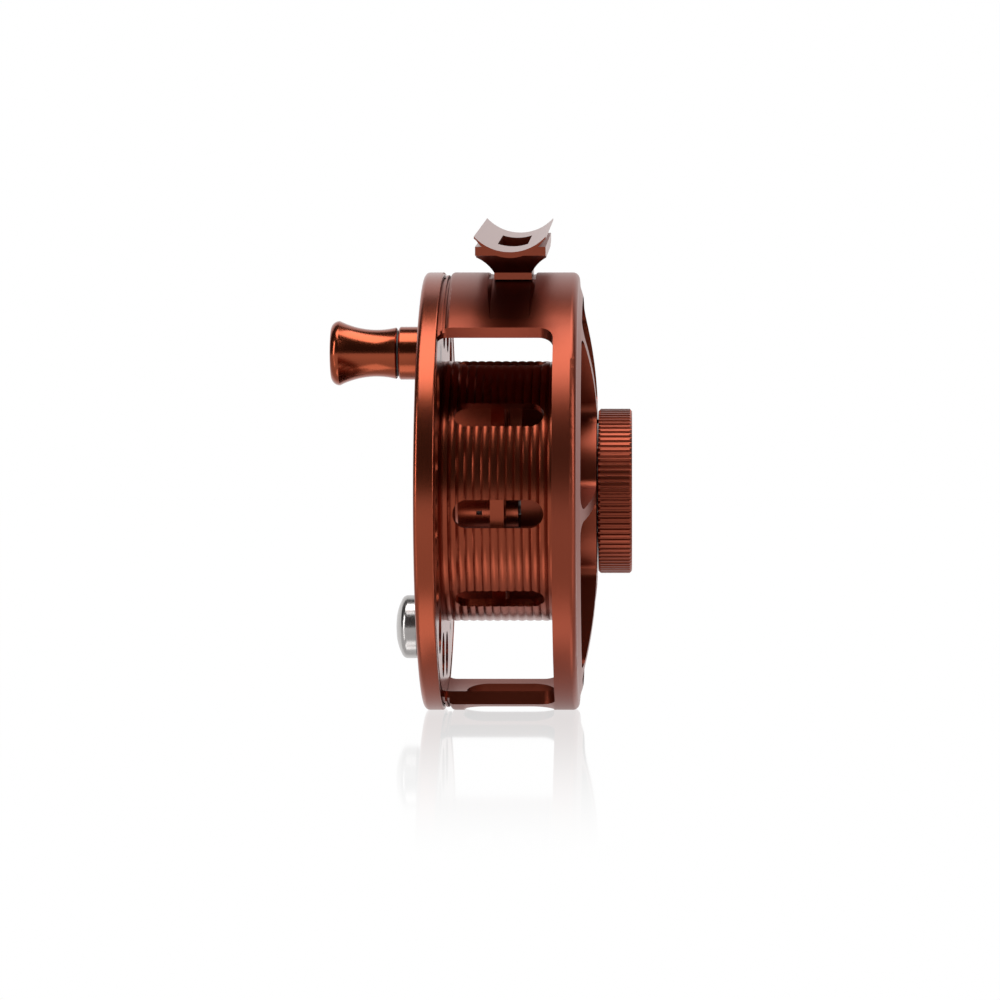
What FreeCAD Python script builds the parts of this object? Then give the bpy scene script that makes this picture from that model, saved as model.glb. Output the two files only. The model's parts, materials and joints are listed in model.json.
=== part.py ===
import FreeCAD, Part
import math
import os
import Sketcher

# Fly reel, millimetres. The row origin is the middle of the reel foot's saddle, where it
# meets the rod. X runs along the spool's axis, towards the drag knob; the handle is on -X.
# Y runs along the foot and the rod, and Z points up, from the reel to the rod.
# Angles about the spool's axis are in degrees from +Y towards +Z.

VIEW = FreeCAD.Vector

SIZE_GROUPS = {
    "Cage": [
        ("reel_radius", 46.0), ("cage_wall", 2.8), ("foot_to_ring", 8.5), ("ring_width", 4.9),
        ("ring_round", 1.4), ("window_width", 23.55), ("top_pillar_half_angle", 36.5),
        ("bottom_pillar_angle", -95.5), ("bottom_pillar_half_angle", 18.5),
        ("window_round", 3.0), ("window_flare", 2.0), ("left_ring_width", 0.95),
        ("left_ring_wall", 1.4), ("lip_start", 0.75), ("lip_width", 0.4), ("lip_wall", 2.2),
        ("lip_groove", 0.5), ("pillar_round", 0.8), ("pillar_slot_length", 18.85),
        ("pillar_slot_width", 23.6), ("pillar_slot_round", 4.6), ("pillar_slot_middle", -1.3),
        ("pillar_slot_angle", -96.5),
    ],
    "Back plate": [
        ("dome_rise", 3.65), ("dome_edge_radius", 43.5), ("dome_step_radius", 41.4),
        ("dome_step_rise", 0.65), ("dome_middle_radius", 33.0), ("dome_middle_rise", 2.43),
        ("dome_flat_radius", 21.0), ("plate_thickness", 2.2), ("plate_hub_thickness", 3.6),
        ("spoke_count", 6), ("spoke_width", 2.4), ("spoke_offset", 4.4),
        ("spoke_lead", 6.2), ("opening_outer", 41.0), ("opening_hub_gap", 0.8),
        ("opening_round", 2.8),
    ],
    "Foot": [
        ("saddle_height", 52.5), ("foot_length", 63.5), ("foot_width", 14.4),
        ("saddle_radius", 9.8), ("plate_edge", 1.15), 
        ("pedestal_height", 5.2), ("pedestal_length", 46.0), ("pedestal_width", 14.3), ("stem_width", 7.8), ("stem_length", 16.0),
        ("stem_height", 1.4), ("seat_depth", 0.76), ("seat_length", 16.6), ("seat_width", 9.8),
        ("seat_shift", -0.45),
        ("foot_window_length", 28.0), ("foot_window_width", 6.2), ("foot_window_depth", 2.6),
        ("channel_depth", 0.5), ("channel_width", 7.9), ("channel_top_width", 10.4),
        ("channel_axis_drop", 3.3), ("channel_half_angle", 33.0), ("foot_screw_spacing", 9.2),
        ("foot_screw_radius", 1.25), ("foot_screw_head_radius", 2.2), ("foot_screw_head", 0.9),
        ("foot_screw_thread", 4.0), ("foot_screw_hex", 0.75),
    ],
    "Spool": [
        ("rim_width", 4.08), ("rim_overhang", 0.2), ("rim_round", 1.0), ("rim_inner", 41.4),
        ("rim_clearance", 0.3), ("flange_thickness", 1.5), ("right_flange_thickness", 1.3),
        ("line_width", 23.9), ("arbor_radius", 27.36), ("arbor_wall", 1.9), ("rib_count", 14),
        ("rib_rise", 0.18), ("slot_count", 8), ("slot_length", 18.5), ("slot_width", 5.8),
        ("slot_shift", -2.85), ("port_count", 16), ("port_circle", 35.0), ("port_radius", 4.7),
        ("web_thickness", 2.8), ("web_right", -1.8), ("web_hole_circle", 16.9),
        ("web_hole_radius", 4.7), ("hub_radius", 8.6), ("hub_right", 0.6), ("hub_left", -6.9),
    ],
    "Handle": [
        ("handle_circle", 33.6), ("handle_angle", 114.8), ("handle_reach", 18.4),
        ("grip_end_radius", 5.5), ("grip_head_radius", 6.62), ("grip_head_length", 1.7),
        ("grip_waist_radius", 4.83), ("grip_waist_place", 8.6), ("grip_tail_radius", 5.3),
        ("grip_tail_chamfer", 0.25), ("ferrule_radius", 5.45), ("ferrule_proud", 4.5),
        ("ferrule_chamfer", 0.3), ("handle_gap", 0.4), ("post_radius", 2.0),
        ("post_head_radius", 3.6), ("post_head", 1.3), ("post_recess", 0.4),
        ("grip_bush_wall", 0.9), ("washer_radius", 4.7), ("washer_thickness", 0.3),
        ("counterweight_circle", 34.8), ("counterweight_radius", 6.8),
        ("counterweight_proud", 7.4), ("counterweight_dome", 1.1), ("counterweight_groove", 0.35),
        ("counterweight_nest_gap", 0.3), ("counterweight_screw_radius", 1.5),
        ("counterweight_screw_depth", 5.0),
    ],
    "Drag": [
        ("cup_radius", 18.6), ("cup_bore", 16.4), ("cup_left", 1.6), ("floor_thickness", 3.4),
        ("spindle_radius", 3.0), ("spindle_flange_radius", 6.5), ("spindle_flange", 1.2),
        ("spindle_thread_radius", 2.5), ("spindle_left", -9.3), ("latch_groove_radius", 2.2),
        ("latch_groove_width", 1.3), ("spindle_nut_radius", 4.5),
        ("spindle_nut_height", 1.8), ("running_gap", 0.05), ("piece_gap", 0.05),
        ("drive_hub_radius", 5.0), ("drive_hub_left", -4.5), ("drive_hub_right", 12.0),
        ("hex_half", 4.5), ("bush_wall", 0.9), ("bush_length", 2.2),
        ("clutch_radius", 7.0), ("clutch_race", 0.8), ("clutch_length", 5.0),
        ("roller_count", 10), ("disc_left", 6.75), ("disc_thickness", 1.3), ("disc_radius", 15.8),
        ("disc_hub_radius", 8.2), ("disc_hub_length", 3.6), ("carbon_thickness", 0.8),
        ("carbon_inner", 8.5), ("drag_slack", 0.7), ("pressure_plate", 1.2),
        ("pressure_inner", 8.5), ("belleville_height", 1.35), ("belleville_thickness", 0.6),
        ("belleville_inner", 8.6), ("belleville_outer", 14.6), ("spring_plate", 0.7),
        ("cover_left", 3.4), ("cover_thickness", 2.2), ("seal_radius", 7.6), ("seal_width", 1.6),
        ("o_ring_section", 0.65), ("retaining_width", 0.8), ("retaining_bite", 0.8),
        ("retaining_inner", 14.2), ("retaining_gap_angle", 40.0),
    ],
    "Knob": [
        ("knob_radius", 17.3), ("knob_gap", 0.3), ("knob_length", 7.05), ("flute_count", 86),
        ("flute_depth", 0.38), ("knob_chamfer", 0.5), ("knob_wall", 4.3),
        ("knob_face_thickness", 1.8), ("knob_thread_radius", 7.0), ("knob_bore", 3.3),
        ("knob_screw_head", 1.0), ("knob_screw_head_radius", 4.2), ("thrust_ring_height", 2.4),
        ("thrust_ring_radius", 12.6), ("thrust_lift", 0.8), ("thrust_pin_circle", 10.5),
        ("thrust_pin_radius", 1.25), ("dimple_count", 48), ("dimple_circle", 14.7),
        ("dimple_radius", 0.8), ("dimple_depth", 0.55), ("detent_pin_radius", 0.95),
        ("detent_tip_radius", 0.6), ("detent_pin_length", 1.5), ("detent_hole_depth", 2.7),
        ("detent_throw", 0.45), ("detent_coil_turns", 3), ("detent_wire", 0.12),
    ],
    "Click": [
        ("gear_teeth", 36), ("gear_root", 25.3), ("gear_tip", 24.3), ("gear_width", 1.6),
        ("gear_right", 9.9), ("pawl_circle", 21.6), ("pawl_angle", 60.0), ("pawl_pin_radius", 0.9),
        ("pawl_thickness", 1.2), ("pawl_boss_radius", 2.0), ("pawl_reach", 4.2),
        ("pawl_tooth", 0.75), ("pawl_lift", 14.0), ("pawl_bury", 0.9),
    ],
    "Latch": [
        ("latch_thickness", 1.0), ("latch_width", 8.0), ("latch_near_end", 9.6),
        ("latch_far_end", 5.4), ("latch_travel", 1.0), ("latch_cover_thickness", 5.6),
        ("latch_screw_circle", 6.4), ("latch_screw_radius", 0.8), ("latch_screw_head_radius", 1.4),
        ("latch_screw_head", 0.7), ("latch_screw_depth", 2.4), ("latch_channel_end", 8.0),
        ("latch_tab_rise", 4.5), ("latch_tab_width", 5.0), ("latch_coil_radius", 0.45),
        ("latch_coil_turns", 4), ("latch_wire", 0.1),
    ],
}


class Size:
    """A length, angle or count: its number now, and the formula that keeps it bound."""

    def __init__(self, number, formula):
        self.number = number
        self.formula = formula

    def joined(self, sign, other, number):
        return Size(number, "(%s %s %s)" % (self.formula, sign, other.formula))

    def __add__(self, other):
        other = as_size(other)
        return self.joined("+", other, self.number + other.number)

    def __sub__(self, other):
        other = as_size(other)
        return self.joined("-", other, self.number - other.number)

    def __mul__(self, other):
        other = as_size(other)
        return self.joined("*", other, self.number * other.number)

    def __truediv__(self, other):
        other = as_size(other)
        return self.joined("/", other, self.number / other.number)

    def __rtruediv__(self, other):
        return as_size(other) / self

    def __neg__(self):
        return Size(-self.number, "(-%s)" % self.formula)

    def __rsub__(self, other):
        return as_size(other) - self

    __radd__ = __add__
    __rmul__ = __mul__


def as_size(value):
    if isinstance(value, Size):
        return value
    return Size(float(value), "(%r)" % float(value))


def cosine(angle):
    return Size(math.cos(math.radians(angle.number)), "cos(%s)" % angle.formula)


def sine(angle):
    return Size(math.sin(math.radians(angle.number)), "sin(%s)" % angle.formula)


def root(value):
    return Size(math.sqrt(value.number), "sqrt(%s)" % value.formula)


def make_sheet(document):
    """Writes the driving sizes in a spreadsheet and returns them by name."""
    sheet = document.addObject("Spreadsheet::Sheet", "Sizes")
    sizes = {}
    row = 1
    for title, group in SIZE_GROUPS.items():
        sheet.set("A%d" % row, title)
        row += 1
        for name, number in group:
            sheet.set("A%d" % row, name.replace("_", " "))
            sheet.set("B%d" % row, repr(number))
            sheet.setAlias("B%d" % row, name)
            sizes[name] = Size(float(number), "Sizes.%s" % name)
            row += 1
    return sizes


doc = FreeCAD.newDocument("fly_reel")
size = make_sheet(doc)
doc.recompute()
NODES = []

# Places along the spool's axis, from the foot's middle plane
ring_left = size["foot_to_ring"]
ring_face = ring_left + size["ring_width"]
hub_face = ring_face + size["dome_rise"]
window_left = ring_left - size["window_width"]
lip_left = window_left + size["lip_start"]
lip_right = lip_left + size["lip_width"]
pillar_left = lip_right + size["lip_groove"]
left_ring_left = window_left - size["left_ring_width"]
rim_right = window_left + size["rim_overhang"]
rim_face = rim_right - size["rim_width"]
flange_right = window_left + size["rim_overhang"] * 0.75
flange_left = flange_right - size["flange_thickness"]
pocket_floor = left_ring_left - size["rim_clearance"]
far_flange_left = flange_right + size["line_width"]
far_flange_right = far_flange_left + size["right_flange_thickness"]
cage_bore = size["reel_radius"] - size["cage_wall"]
floor_inside = hub_face - size["floor_thickness"]
arbor_bore = size["arbor_radius"] - size["arbor_wall"]
web_left = size["web_right"] - size["web_thickness"]
knob_left = hub_face + size["knob_gap"]
knob_right = knob_left + size["knob_length"]
axis_drop = -size["saddle_height"]


def vector(x, y, z=0.0):
    return FreeCAD.Vector(float(x), float(y), float(z))


def bind(thing, field, value):
    """Ties a field of a document object to a size."""
    value = as_size(value)
    thing.setExpression(field, value.formula)


def set_place(thing, x=0.0, y=0.0, z=axis_drop):
    """Puts a sub-part at x, y, z. The reel's axis lies below the row origin."""
    x, y, z = as_size(x), as_size(y), as_size(z)
    thing.Placement.Base = vector(x.number, y.number, z.number)
    bind(thing, ".Placement.Base.x", x)
    bind(thing, ".Placement.Base.y", y)
    bind(thing, ".Placement.Base.z", z)


def name_node(thing, name):
    thing.Label = name
    NODES.append(thing)
    return thing


def new_body(name):
    return doc.addObject("PartDesign::Body", name + "_body")


def origin_item(body, role):
    return [item for item in body.Origin.OriginFeatures if item.Role == role][0]


def through(u, v):
    """Marks a point that an arc passes through, between two corners of an outline."""
    return ("through", as_size(u), as_size(v))


def hold_point(sketch, element, end, u, v):
    for kind, axis, value in (("DistanceX", -2, u), ("DistanceY", -1, v)):
        if value.number == 0.0:
            sketch.addConstraint(Sketcher.Constraint("PointOnObject", element, end, axis))
        else:
            where = Sketcher.Constraint(kind, -1, 1, element, end, value.number)
            index = sketch.addConstraint(where)
            bind(sketch, "Constraints[%d]" % index, value)


def add_loop(sketch, points):
    """Draws one closed outline of lines and three-point arcs, held by its corners."""
    corners = [(as_size(p[0]), as_size(p[1]), i) for i, p in enumerate(points) if p[0] != "through"]
    first = sketch.GeometryCount
    middles = []
    for place, (u, v, index) in enumerate(corners):
        next_u, next_v, _ = corners[(place + 1) % len(corners)]
        start = vector(u.number, v.number)
        finish = vector(next_u.number, next_v.number)
        following = points[(index + 1) % len(points)]
        if following[0] == "through":
            middle = vector(following[1].number, following[2].number)
            edge = Part.Arc(start, middle, finish)
            middles.append((first + place, following[1], following[2], edge))
            sketch.addGeometry(edge, False)
        else:
            sketch.addGeometry(Part.LineSegment(start, finish), False)
    count = len(corners)
    turned = {element: arc_runs_back(edge, sketch, element) for element, _, _, edge in middles}
    for place in range(count):
        here, there = first + place, first + (place + 1) % count
        last = 1 if turned.get(here) else 2
        begin = 2 if turned.get(there) else 1
        sketch.addConstraint(Sketcher.Constraint("Coincident", here, last, there, begin))
    for place, (u, v, _) in enumerate(corners):
        element = first + place
        hold_point(sketch, element, 2 if turned.get(element) else 1, u, v)
    for element, u, v, _ in middles:
        point = sketch.addGeometry(Part.Point(vector(u.number, v.number)), True)
        sketch.addConstraint(Sketcher.Constraint("PointOnObject", point, 1, element))
        hold_point(sketch, point, 1, u, v)


def arc_runs_back(edge, sketch, element):
    """A sketch keeps arcs anticlockwise, so an arc drawn clockwise has its ends swapped."""
    return (edge.StartPoint - sketch.getPoint(element, 1)).Length > 1e-6


def add_circle(sketch, u, v, radius):
    u, v, radius = as_size(u), as_size(v), as_size(radius)
    circle = Part.Circle(vector(u.number, v.number), FreeCAD.Vector(0, 0, 1), radius.number)
    element = sketch.addGeometry(circle, False)
    hold_point(sketch, element, 3, u, v)
    index = sketch.addConstraint(Sketcher.Constraint("Radius", element, radius.number))
    bind(sketch, "Constraints[%d]" % index, radius)


def new_sketch(body, name, plane):
    sketch = body.newObject("Sketcher::SketchObject", name)
    sketch.AttachmentSupport = (origin_item(body, plane), [""])
    sketch.MapMode = "FlatFace"
    return sketch


def lift_sketch(sketch, distance):
    """Moves a sketch along its own plane's normal."""
    sketch.AttachmentOffset = FreeCAD.Placement(vector(0, 0, distance.number), FreeCAD.Rotation())
    bind(sketch, ".AttachmentOffset.Base.z", distance)


def lean_sketch(sketch, angle, distance=None):
    """Turns a sketch on the XY plane about the axis, and moves it along its new normal."""
    angle = as_size(angle)
    distance = as_size(distance or 0.0)
    normal = angle + 90.0
    base_y = distance * cosine(normal)
    base_z = distance * sine(normal)
    turn = FreeCAD.Rotation(FreeCAD.Vector(1, 0, 0), angle.number)
    base = vector(0, base_y.number, base_z.number)
    sketch.AttachmentOffset = FreeCAD.Placement(base, turn)
    bind(sketch, ".AttachmentOffset.Rotation.Angle", angle)
    bind(sketch, ".AttachmentOffset.Base.y", base_y)
    bind(sketch, ".AttachmentOffset.Base.z", base_z)


def settle(body, volume_before, sign):
    """Recomputes, and stops if the last feature did not add or remove material."""
    doc.recompute()
    change = body.Shape.Volume - volume_before
    if change * sign <= 1e-4:
        raise RuntimeError("%s: the last feature changed the volume by %g" % (body.Name, change))


def turn_solid(body, name, points, angle=360.0, middle=0.0):
    """Adds a solid of revolution about the body's X axis from an outline in x and radius."""
    before = body.Shape.Volume if body.Tip else 0.0
    sketch = new_sketch(body, name + "_outline", "XY_Plane")
    add_loop(sketch, points)
    if as_size(middle).number != 0.0:
        lean_sketch(sketch, middle)
    doc.recompute()
    solid = body.newObject("PartDesign::Revolution", name)
    solid.Profile = sketch
    solid.ReferenceAxis = (sketch, ["H_Axis"])
    bind(solid, "Angle", angle)
    solid.Midplane = as_size(angle).number < 360.0
    settle(body, before, 1)
    return solid


def groove_around(body, name, points, angle=360.0, middle=0.0):
    """Cuts a groove about the body's X axis, centred on the middle angle."""
    before = body.Shape.Volume
    sketch = new_sketch(body, name + "_outline", "XY_Plane")
    add_loop(sketch, points)
    if as_size(middle).number != 0.0:
        lean_sketch(sketch, middle)
    doc.recompute()
    groove = body.newObject("PartDesign::Groove", name)
    groove.Profile = sketch
    groove.ReferenceAxis = (sketch, ["H_Axis"])
    bind(groove, "Angle", angle)
    groove.Midplane = as_size(angle).number < 360.0
    settle(body, before, -1)
    return groove


def cut_along_x(body, name, x_from, x_to, loops=(), circles=()):
    """Cuts outlines and holes, drawn in y and z, from x_to back to x_from."""
    before = body.Shape.Volume
    sketch = new_sketch(body, name + "_outline", "YZ_Plane")
    lift_sketch(sketch, as_size(x_to))
    for points in loops:
        add_loop(sketch, points)
    for y, z, radius in circles:
        add_circle(sketch, y, z, radius)
    doc.recompute()
    pocket = body.newObject("PartDesign::Pocket", name)
    pocket.Profile = sketch
    bind(pocket, "Length", as_size(x_to) - x_from)
    settle(body, before, -1)
    return pocket


def cut_radially(body, name, angle, r_from, r_to, points):
    """Cuts an outline in x and across, from r_to in to r_from, along one radius."""
    before = body.Shape.Volume
    sketch = new_sketch(body, name + "_outline", "XY_Plane")
    add_loop(sketch, points)
    lean_sketch(sketch, as_size(angle) - 90.0, r_to)
    doc.recompute()
    pocket = body.newObject("PartDesign::Pocket", name)
    pocket.Profile = sketch
    bind(pocket, "Length", as_size(r_to) - r_from)
    settle(body, before, -1)
    return pocket


def repeat_around(body, name, feature, count):
    before = body.Shape.Volume
    pattern = body.newObject("PartDesign::PolarPattern", name)
    pattern.Originals = [feature]
    pattern.Axis = (origin_item(body, "X_Axis"), [""])
    pattern.Angle = 360
    bind(pattern, "Occurrences", count)
    body.Tip = pattern
    doc.recompute()
    if abs(body.Shape.Volume - before) <= 1e-4:
        raise RuntimeError("%s: the pattern changed nothing" % name)
    return pattern


def round_edges(body, name, radius, wanted):
    """Rounds the edges that the test picks."""
    edges = ["Edge%d" % (i + 1) for i, edge in enumerate(body.Shape.Edges) if wanted(edge)]
    if not edges:
        raise RuntimeError("%s: no edge was found" % name)
    base = body.Tip
    fillet = body.newObject("PartDesign::Fillet", name)
    fillet.Base = (base, edges)
    bind(fillet, "Radius", radius)
    doc.recompute()
    return fillet


def is_hoop(edge, x, radius):
    """True for a circular edge about the X axis at x with this radius."""
    curve = edge.Curve
    if not hasattr(curve, "Radius") or not hasattr(curve, "Center"):
        return False
    centred = abs(curve.Center.x - x.number) < 0.01 and math.hypot(curve.Center.y, curve.Center.z) < 0.01
    return centred and abs(curve.Radius - radius.number) < 0.01


def runs_along_x(edge):
    ends = [vertex.Point for vertex in edge.Vertexes]
    if len(ends) != 2 or not isinstance(edge.Curve, Part.Line):
        return False
    return math.hypot(ends[0].y - ends[1].y, ends[0].z - ends[1].z) < 1e-4


def tube_points(left, right, inner, outer):
    return [(left, inner), (right, inner), (right, outer), (left, outer)]


def turned(name, points, **place):
    """A whole sub-part turned on the lathe."""
    body = new_body(name)
    turn_solid(body, name + "_turned", points)
    set_place(body, **place)
    return name_node(body, name)


def ring(name, left, right, inner, outer, **place):
    return turned(name, tube_points(left, right, inner, outer), **place)


def join(name, pieces):
    """Joins pieces that already stand in the reel's own places into one sub-part."""
    fused = doc.addObject("Part::MultiFuse", name + "_joined")
    fused.Shapes = pieces
    return name_node(fused, name)


def group(name, shapes, **place):
    """Separate identical or matching solids that share one node."""
    feature = doc.addObject("Part::Feature", name + "_group")
    feature.Shape = Part.makeCompound(shapes)
    set_place(feature, **place)
    return name_node(feature, name)


def shape_tube(left, right, inner, outer, y=0.0, z=0.0):
    """A plain tube or rod along X as a bare shape."""
    axis = FreeCAD.Vector(1, 0, 0)
    base = vector(left, y, z)
    rod = Part.makeCylinder(outer, right - left, base, axis)
    if inner > 0.0:
        rod = rod.cut(Part.makeCylinder(inner, right - left, base, axis))
    return rod


def rounded_box_points(length, width, radius):
    """A rectangle about the sketch's centre with round corners."""
    half_u, half_v = length / 2.0, width / 2.0
    slant = radius * (1.0 - math.sqrt(0.5))
    points = []
    for side_u, side_v in ((1, 1), (-1, 1), (-1, -1), (1, -1)):
        near_u = (half_u * side_u, (half_v - radius) * side_v)
        near_v = ((half_u - radius) * side_u, half_v * side_v)
        middle = through((half_u - slant) * side_u, (half_v - slant) * side_v)
        pair = [near_u, middle, near_v] if side_u * side_v > 0 else [near_v, middle, near_u]
        points += pair
    return points


def shift_u(points, distance):
    moved = []
    for point in points:
        if point[0] == "through":
            moved.append(through(point[1] + distance, point[2]))
        else:
            moved.append((as_size(point[0]) + distance, point[1]))
    return moved


def obround_points(length, width):
    """A slot outline along u with half-round ends."""
    half = width / 2.0
    flat = length / 2.0 - half
    return [
        (flat, -half), through(length / 2.0, 0.0), (flat, half),
        (-flat, half), through(-length / 2.0, 0.0), (-flat, -half),
    ]


# ---------------------------------------------------------------- cage


def make_frame():
    """The one-piece cage: back plate, drag cup, pillars and the thin ring at the handle side."""
    body = new_body("frame")
    outer = size["reel_radius"]
    plate_inner_edge = ring_face - size["plate_thickness"]
    plate_inner_hub = hub_face - size["plate_hub_thickness"]
    left_ring = cage_bore + size["left_ring_wall"]
    lip = cage_bore + size["lip_wall"]
    turn_solid(body, "cage_turned", [
        (left_ring_left, cage_bore),
        (left_ring_left, left_ring),
        (lip_left, left_ring),
        (lip_left, lip),
        (lip_right, lip),
        (lip_right, left_ring),
        (pillar_left, left_ring),
        (pillar_left, outer),
        (ring_face, outer),
        (ring_face, size["dome_edge_radius"]),
        (ring_face + size["dome_step_rise"], size["dome_step_radius"]),
        through(ring_face + size["dome_middle_rise"], size["dome_middle_radius"]),
        (hub_face, size["dome_flat_radius"]),
        (hub_face, size["spindle_thread_radius"]),
        (floor_inside, size["spindle_thread_radius"]),
        (floor_inside, size["cup_bore"]),
        (size["cup_left"], size["cup_bore"]),
        (size["cup_left"], size["cup_radius"]),
        (plate_inner_hub, size["cup_radius"]),
        (plate_inner_edge, cage_bore),
    ])
    round_edges(body, "ring_rounded", size["ring_round"],
                lambda edge: is_hoop(edge, ring_face, size["reel_radius"]))
    round_edges(body, "pillar_end_rounded", size["pillar_round"],
                lambda edge: is_hoop(edge, pillar_left, size["reel_radius"]))
    cut_plate_openings(body)
    cut_foot_seat(body)
    cut_drag_holes(body)
    cutters = [make_window_cutter("near_window", True), make_window_cutter("far_window", False),
               make_pillar_slot_cutter()]
    tool = doc.addObject("Part::Compound", "cage_cutters")
    tool.Links = cutters
    cut = doc.addObject("Part::Cut", "frame_cut")
    cut.Base = body
    cut.Tool = tool
    set_place(cut)
    return name_node(cut, "frame")


def cut_plate_openings(body):
    """Openings between the back plate's spokes, which run a little to one side of the axis."""
    count = int(size["spoke_count"].number)
    step = 360.0 / count
    inner = size["cup_radius"] + size["opening_hub_gap"]
    outer = size["opening_outer"]
    upper_edge = size["spoke_width"] / 2.0 - size["spoke_offset"]
    lower_edge = -size["spoke_width"] / 2.0 - size["spoke_offset"]
    loops = []
    for index in range(count):
        start = size["spoke_lead"] + step * index
        finish = start + step
        middle = start + step / 2.0 - size["spoke_lead"]
        first_inner = opening_corner(inner, 1.0, upper_edge, 1.0)
        first_outer = opening_corner(outer, -1.0, upper_edge, 1.0)
        last_inner = opening_corner(inner, 1.0, lower_edge, -1.0)
        last_outer = opening_corner(outer, -1.0, lower_edge, -1.0)
        loops.append(
            corner_points(start, first_inner[::-1]) + corner_points(start, first_outer)
            + [through(*on_spoke(middle, outer, 0.0))]
            + corner_points(finish, last_outer[::-1]) + corner_points(finish, last_inner)
            + [through(*on_spoke(middle - size["spoke_lead"], inner, 0.0))])
    cut_along_x(body, "plate_openings", floor_inside - 5.0, hub_face + 1.0, loops=loops)


def corner_points(angle, corner):
    """Turns a round corner's three places into sketch points, the middle one on the arc."""
    return [on_spoke(angle, *corner[0]), through(*on_spoke(angle, *corner[1])), on_spoke(angle, *corner[2])]


def opening_corner(radius, side, edge, turn):
    """Along and across places of a round corner: on the spoke's side, midway, and on the arc."""
    soft = size["opening_round"]
    reach = radius + soft * side
    across = edge + soft * turn
    along = root(reach * reach - across * across)
    rim_along, rim_across = along * radius / reach, across * radius / reach
    lean_along = (rim_along - along) / soft
    lean_across = (rim_across - across) / soft - turn
    span = root(lean_along * lean_along + lean_across * lean_across)
    middle = (along + soft * lean_along / span, across + soft * lean_across / span)
    return [(along, edge), middle, (rim_along, rim_across)]


def on_spoke(angle, along, across):
    """The y, z place that lies along a direction from the axis and across from it."""
    angle, along, across = as_size(angle), as_size(along), as_size(across)
    direction_y, direction_z = cosine(angle), sine(angle)
    return (along * direction_y - across * direction_z, along * direction_z + across * direction_y)


def cut_foot_seat(body):
    """The flat that the foot's stem stands on, its screw holes and the shallow channel."""
    top = size["reel_radius"]
    seat = top - size["seat_depth"]
    cut_radially(body, "foot_seat", 90.0, seat, top + 1.0,
                 shift_u(box_points(size["seat_width"], size["seat_length"]), size["seat_shift"]))
    channel = top - size["channel_depth"]
    drop = size["channel_axis_drop"]
    half_floor = size["channel_width"] / 2.0
    half_top = size["channel_top_width"] / 2.0
    before = body.Shape.Volume
    sketch = new_sketch(body, "channel_outline", "XY_Plane")
    add_loop(sketch, shift_u([
        (-half_floor, channel), (half_floor, channel), (half_top, top), (half_top, top + 1.0),
        (-half_top, top + 1.0), (-half_top, top),
    ], size["seat_shift"]))
    line = sketch.addGeometry(Part.LineSegment(vector(-5, -drop.number), vector(5, -drop.number)), True)
    hold_point(sketch, line, 1, as_size(-5.0), -drop)
    hold_point(sketch, line, 2, as_size(5.0), -drop)
    lean_sketch(sketch, 90.0)
    doc.recompute()
    channel_cut = body.newObject("PartDesign::Groove", "channel")
    channel_cut.Profile = sketch
    channel_cut.ReferenceAxis = (sketch, ["Axis0"])
    bind(channel_cut, "Angle", size["channel_half_angle"] * 2.0)
    channel_cut.Midplane = True
    settle(body, before, -1)
    for side in (-1, 1):
        name = "foot_screw_hole_%d" % (side + 2)
        place = size["foot_screw_spacing"] / 2.0 * side
        bore_along_z(body, name, place, size["foot_screw_radius"], cage_bore - 2.0, seat + 1.0)
        head_top = foot_screw_head_top()
        bore_along_z(body, name + "_head", place, size["foot_screw_head_radius"] + size["running_gap"],
                     cage_bore - 2.0, head_top)


def foot_screw_head_top():
    """Where the screw heads seat, sunk into the cage wall from inside."""
    return cage_bore + size["foot_screw_head"]


def box_points(length, width):
    half_u, half_v = length / 2.0, width / 2.0
    return [(-half_u, -half_v), (half_u, -half_v), (half_u, half_v), (-half_u, half_v)]


def bore_along_z(body, name, y, radius, z_from, z_to):
    before = body.Shape.Volume
    sketch = new_sketch(body, name + "_outline", "XY_Plane")
    add_circle(sketch, size["seat_shift"], y, radius)
    lift_sketch(sketch, as_size(z_to))
    doc.recompute()
    pocket = body.newObject("PartDesign::Pocket", name)
    pocket.Profile = sketch
    bind(pocket, "Length", as_size(z_to) - z_from)
    settle(body, before, -1)


def cut_drag_holes(body):
    """Holes in the cup's floor for the thrust pins and the detent, and the ring groove."""
    circle = size["thrust_pin_circle"]
    pin_hole = cut_along_x(body, "thrust_pin_hole", floor_inside - 1.0, hub_face + 1.0,
                           circles=[(circle, 0.0, size["thrust_pin_radius"] + size["running_gap"])])
    repeat_around(body, "thrust_pin_holes", pin_hole, 3)
    cut_along_x(body, "detent_hole", hub_face - size["detent_hole_depth"], hub_face + 1.0,
                circles=[(0.0, size["dimple_circle"], size["detent_pin_radius"] + size["running_gap"])])
    groove_left = size["cover_left"] - size["retaining_width"] - size["piece_gap"]
    groove_around(body, "retaining_groove", tube_points(
        groove_left, size["cover_left"], size["cup_bore"] - 0.5,
        size["cup_bore"] + size["retaining_bite"] + size["piece_gap"]))
    pawl_y, pawl_z = pawl_pivot()
    hole = size["pawl_pin_radius"]
    cut_along_x(body, "pawl_pin_hole", far_flange_right, pawl_pin_right(), circles=[(pawl_y, pawl_z, hole)])


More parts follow.
